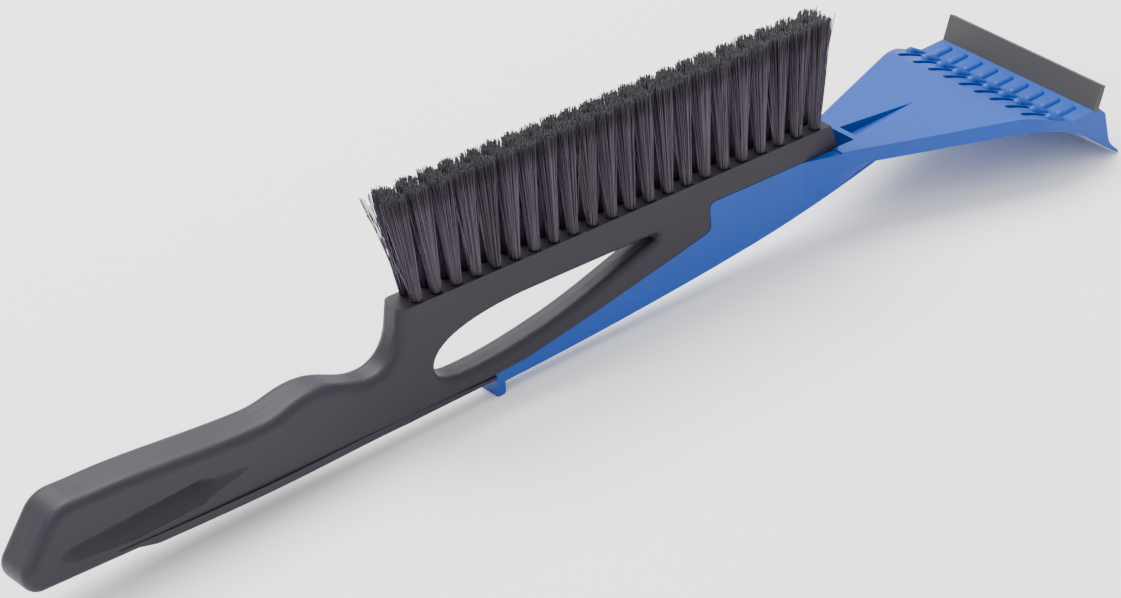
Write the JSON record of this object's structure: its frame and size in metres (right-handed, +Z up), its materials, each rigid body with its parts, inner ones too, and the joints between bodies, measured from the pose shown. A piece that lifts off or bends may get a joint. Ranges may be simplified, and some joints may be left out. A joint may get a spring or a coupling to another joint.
{
  "type": "snow brush with ice scraper",
  "caption": "Hand-held snow brush with a bristle rail and a grip behind a finger gap, and a slide-off ice scraper head with finger grooves, a hooked edge and a rubber squeegee strip.",
  "frame": {"origin": "the middle of the tool's length and width, on the surface that it stands on with its bristles up", "axes": "+X from the handle to the scraping edge, +Z up, the way the bristles point"},
  "size_m": [0.5398, 0.0994, 0.1114],
  "materials": {
    "brush_plastic": "moulded plastic, fine satin grain",
    "scraper_plastic": "moulded plastic, semi-matt",
    "bristle": "drawn filament",
    "squeegee_rubber": "matt rubber",
    "staple_steel": "drawn wire"
  },
  "bodies": {
    "brush": {"brush_body": "brush_plastic", "bristle_tuft_far_01": "bristle", "bristle_tuft_far_02": "bristle", "bristle_tuft_far_03": "bristle", "bristle_tuft_far_04": "bristle", "bristle_tuft_far_05": "bristle", "bristle_tuft_far_06": "bristle", "bristle_tuft_far_07": "bristle", "bristle_tuft_far_08": "bristle", "bristle_tuft_far_09": "bristle", "bristle_tuft_far_10": "bristle", "bristle_tuft_far_11": "bristle", "bristle_tuft_far_12": "bristle", "bristle_tuft_far_13": "bristle", "bristle_tuft_far_14": "bristle", "bristle_tuft_far_15": "bristle", "bristle_tuft_far_16": "bristle", "bristle_tuft_far_17": "bristle", "bristle_tuft_far_18": "bristle", "bristle_tuft_far_19": "bristle", "bristle_tuft_far_20": "bristle", "bristle_tuft_far_21": "bristle", "bristle_tuft_far_22": "bristle", "bristle_tuft_near_01": "bristle", "bristle_tuft_near_02": "bristle", "bristle_tuft_near_03": "bristle", "bristle_tuft_near_04": "bristle", "bristle_tuft_near_05": "bristle", "bristle_tuft_near_06": "bristle", "bristle_tuft_near_07": "bristle", "bristle_tuft_near_08": "bristle", "bristle_tuft_near_09": "bristle", "bristle_tuft_near_10": "bristle", "bristle_tuft_near_11": "bristle", "bristle_tuft_near_12": "bristle", "bristle_tuft_near_13": "bristle", "bristle_tuft_near_14": "bristle", "bristle_tuft_near_15": "bristle", "bristle_tuft_near_16": "bristle", "bristle_tuft_near_17": "bristle", "bristle_tuft_near_18": "bristle", "bristle_tuft_near_19": "bristle", "bristle_tuft_near_20": "bristle", "bristle_tuft_near_21": "bristle", "bristle_tuft_near_22": "bristle", "tuft_staples_far": "staple_steel", "tuft_staples_near": "staple_steel"},
    "scraper": {"scraper_body": "scraper_plastic", "squeegee_blade": "squeegee_rubber"}
  },
  "joints": [
    {"name": "scraper_slide", "type": "slide", "parent": "brush", "child": "scraper", "axis": [0.9989, 0, -0.0467], "range_m": [0, 0.2]}
  ]
}
